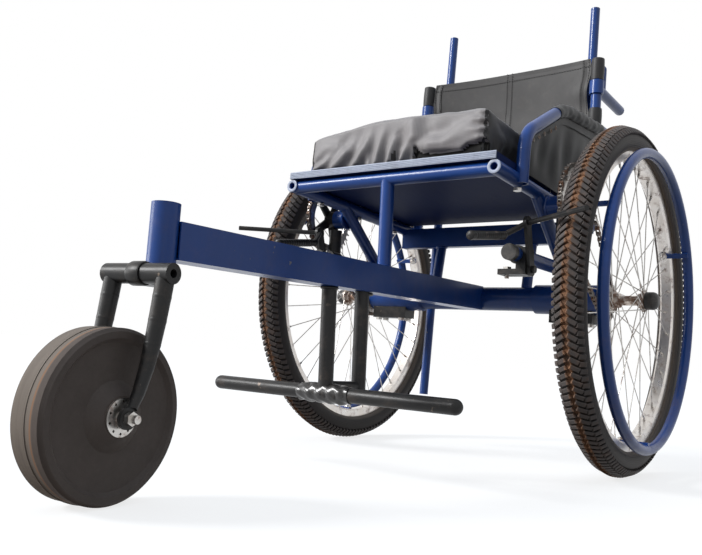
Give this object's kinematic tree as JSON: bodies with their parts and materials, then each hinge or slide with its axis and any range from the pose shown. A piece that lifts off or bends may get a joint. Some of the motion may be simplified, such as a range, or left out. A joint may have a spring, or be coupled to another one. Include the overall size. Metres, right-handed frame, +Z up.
{
  "type": "all terrain wheelchair",
  "caption": "Rough ground wheelchair with knobby spoked rear wheels, a front caster on a long boom, chain and lever hand drive, sling backrest, cushioned seat and wheel locks",
  "frame": {"origin": "on the ground, on the chair's centre plane, midway between the caster's front and the rear tyres' back", "axes": "+Z up, the chair faces -Y, +X is the sitter's left"},
  "size_m": [0.76, 1.3821, 1.0135],
  "materials": {
    "blue_paint": "gloss royal blue enamel on steel tube",
    "blue_board": "blue enamel on plywood",
    "black_paint": "satin black paint on steel",
    "bright_steel": "plated steel, a little dull",
    "rim_metal": "polished rim",
    "knobby_tyre": "dusty black rubber with a knobby tread",
    "caster_rubber": "moulded black rubber",
    "cap_rubber": "soft black rubber",
    "nylon": "charcoal coated nylon"
  },
  "bodies": {
    "frame": {"head_tube": "blue_paint", "headset_bushes": "bright_steel", "boom": "blue_paint", "front_post": "blue_paint", "seat_front_rail": "blue_paint", "seat_side_rails": "blue_paint", "seat_rear_bar": "blue_paint", "seat_struts": "blue_paint", "rear_uprights": "blue_paint", "axle_cross_tube": "blue_paint", "axle_sleeves": "blue_paint", "axle_clamps": "black_paint", "hex_bolts": "bright_steel", "rear_axles": "bright_steel", "wheel_bearings": "bright_steel", "axle_caps": "cap_rubber", "crank_shells": "blue_paint", "crank_bushes": "bright_steel", "seat_board": "blue_board", "cushion": "nylon", "backrest_posts": "blue_paint", "backrest_sling": "nylon", "push_handles": "blue_paint", "guard_tubes": "blue_paint", "guard_panels": "nylon", "footrest_legs": "black_paint", "foot_bar": "black_paint", "lever_holders": "blue_paint", "lock_tubes": "blue_paint", "lock_tube_caps": "cap_rubber", "lock_clamps": "black_paint", "chain_left": "bright_steel", "chain_right": "bright_steel"},
    "wheel_left": {"tyre_left": "knobby_tyre", "rim_left": "rim_metal", "spokes_left": "bright_steel", "hub_left": "bright_steel", "handrim_left": "blue_paint"},
    "wheel_right": {"tyre_right": "knobby_tyre", "rim_right": "rim_metal", "spokes_right": "bright_steel", "hub_right": "bright_steel", "handrim_right": "blue_paint"},
    "freewheel_left": {"freewheel_left": "bright_steel"},
    "freewheel_right": {"freewheel_right": "bright_steel"},
    "crank_left": {"chainring_left": "bright_steel", "spider_left": "black_paint"},
    "crank_right": {"chainring_right": "bright_steel", "spider_right": "black_paint"},
    "lock_left": {"lock_lever_left": "black_paint"},
    "lock_right": {"lock_lever_right": "black_paint"},
    "lever_left": {"drive_lever_left": "blue_paint"},
    "lever_right": {"drive_lever_right": "blue_paint"},
    "fork": {"fork_steerer": "black_paint", "fork_crown": "black_paint", "fork_legs": "black_paint", "caster_axle": "bright_steel"},
    "caster": {"caster_tyre": "caster_rubber", "caster_hub": "bright_steel"}
  },
  "joints": [
    {"name": "wheel_left_spin", "type": "hinge", "parent": "frame", "child": "wheel_left", "pos_m": [0.3235, 0.3575, 0.334], "axis": [1, 0, 0], "continuous": true},
    {"name": "drive_left", "type": "hinge", "parent": "frame", "child": "crank_left", "pos_m": [0.28, 0.17326, 0.48641], "axis": [1, 0, 0], "continuous": true, "deforming": ["chain_left"]},
    {"name": "freewheel_left_spin", "type": "hinge", "parent": "frame", "child": "freewheel_left", "pos_m": [0.28, 0.3575, 0.334], "axis": [1, 0, 0], "continuous": true},
    {"name": "lock_left_turn", "type": "hinge", "parent": "frame", "child": "lock_left", "pos_m": [0.231, 0.1055, 0.363], "axis": [1, 0, 0], "range_deg": [-9.5, 0]},
    {"name": "lever_left_lift", "type": "slide", "parent": "frame", "child": "lever_left", "axis": [0, 0.0541, 0.9985], "range_m": [0, 0.75]},
    {"name": "wheel_right_spin", "type": "hinge", "parent": "frame", "child": "wheel_right", "pos_m": [-0.3235, 0.3575, 0.334], "axis": [1, 0, 0], "continuous": true},
    {"name": "drive_right", "type": "hinge", "parent": "frame", "child": "crank_right", "pos_m": [-0.28, 0.17326, 0.48641], "axis": [1, 0, 0], "continuous": true, "deforming": ["chain_right"]},
    {"name": "freewheel_right_spin", "type": "hinge", "parent": "frame", "child": "freewheel_right", "pos_m": [-0.28, 0.3575, 0.334], "axis": [1, 0, 0], "continuous": true},
    {"name": "lock_right_turn", "type": "hinge", "parent": "frame", "child": "lock_right", "pos_m": [-0.231, 0.1055, 0.363], "axis": [1, 0, 0], "range_deg": [-9.5, 0]},
    {"name": "lever_right_lift", "type": "slide", "parent": "frame", "child": "lever_right", "axis": [0, 0.0541, 0.9985], "range_m": [0, 0.75]},
    {"name": "caster_swivel", "type": "hinge", "parent": "frame", "child": "fork", "pos_m": [0, -0.5125, 0.291], "axis": [0, 0, 1], "continuous": true},
    {"name": "caster_spin", "type": "hinge", "parent": "fork", "child": "caster", "pos_m": [0.00722, -0.58615, 0.1037], "axis": [0.9952, 0.0976, 0], "continuous": true}
  ],
  "couplings": [
    {"joint": "freewheel_left_spin", "follows": "drive_left", "ratio": 1.8},
    {"joint": "freewheel_right_spin", "follows": "drive_right", "ratio": 1.8}
  ]
}
